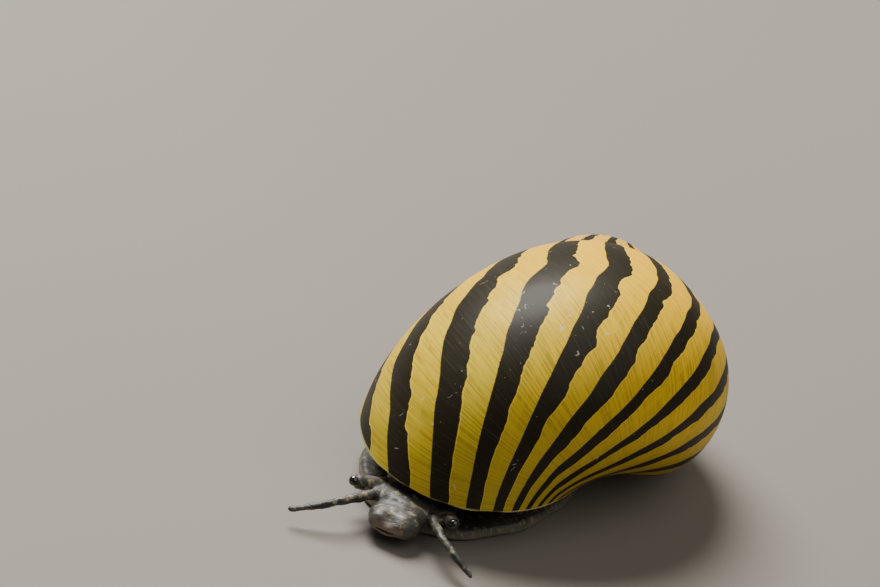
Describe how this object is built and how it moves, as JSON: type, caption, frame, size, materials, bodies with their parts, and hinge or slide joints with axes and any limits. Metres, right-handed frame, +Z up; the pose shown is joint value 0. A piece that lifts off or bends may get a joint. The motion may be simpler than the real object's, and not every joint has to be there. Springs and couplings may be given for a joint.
{
  "type": "nerite snail",
  "caption": "Life-size resting nerite snail: a smooth, low-spired shell with yellow and black stripes over an oval foot, with head and tentacles out.",
  "frame": {"origin": "centre of the foot's sole, on the surface that the animal rests on", "axes": "+Z up, -Y towards the head, +X to the animal's left"},
  "size_m": [0.0181, 0.0274, 0.0133],
  "materials": {
    "shell_striped": "glossy yellow shell with wavy black bands",
    "shell_spire": "satin orange-brown shell with thin dark stripes",
    "shell_worn": "worn, dull shell tip",
    "shell_inner": "smooth cream-white inner shell",
    "operculum": "smooth, chalky grey-brown plate",
    "flesh_foot": "moist dark grey skin",
    "flesh_head": "moist near-black skin with fine pale lines",
    "eye": "glossy black"
  },
  "bodies": {
    "root": {"shell_body_whorl": "shell_striped", "shell_spire": "shell_spire", "shell_apex": "shell_worn", "columellar_deck": "shell_inner", "foot_front": "flesh_foot", "foot_middle": "flesh_foot", "foot_rear": "flesh_foot", "mantle_body": "flesh_head", "mantle_edge": "flesh_head", "head": "flesh_head", "snout": "flesh_head", "tentacle_left_base": "flesh_head", "tentacle_left_middle": "flesh_head", "tentacle_left_tip": "flesh_head", "eye_stalk_left": "flesh_head", "eye_left": "eye", "tentacle_right_base": "flesh_head", "tentacle_right_middle": "flesh_head", "tentacle_right_tip": "flesh_head", "eye_stalk_right": "flesh_head", "eye_right": "eye", "operculum": "operculum"}
  },
  "joints": []
}
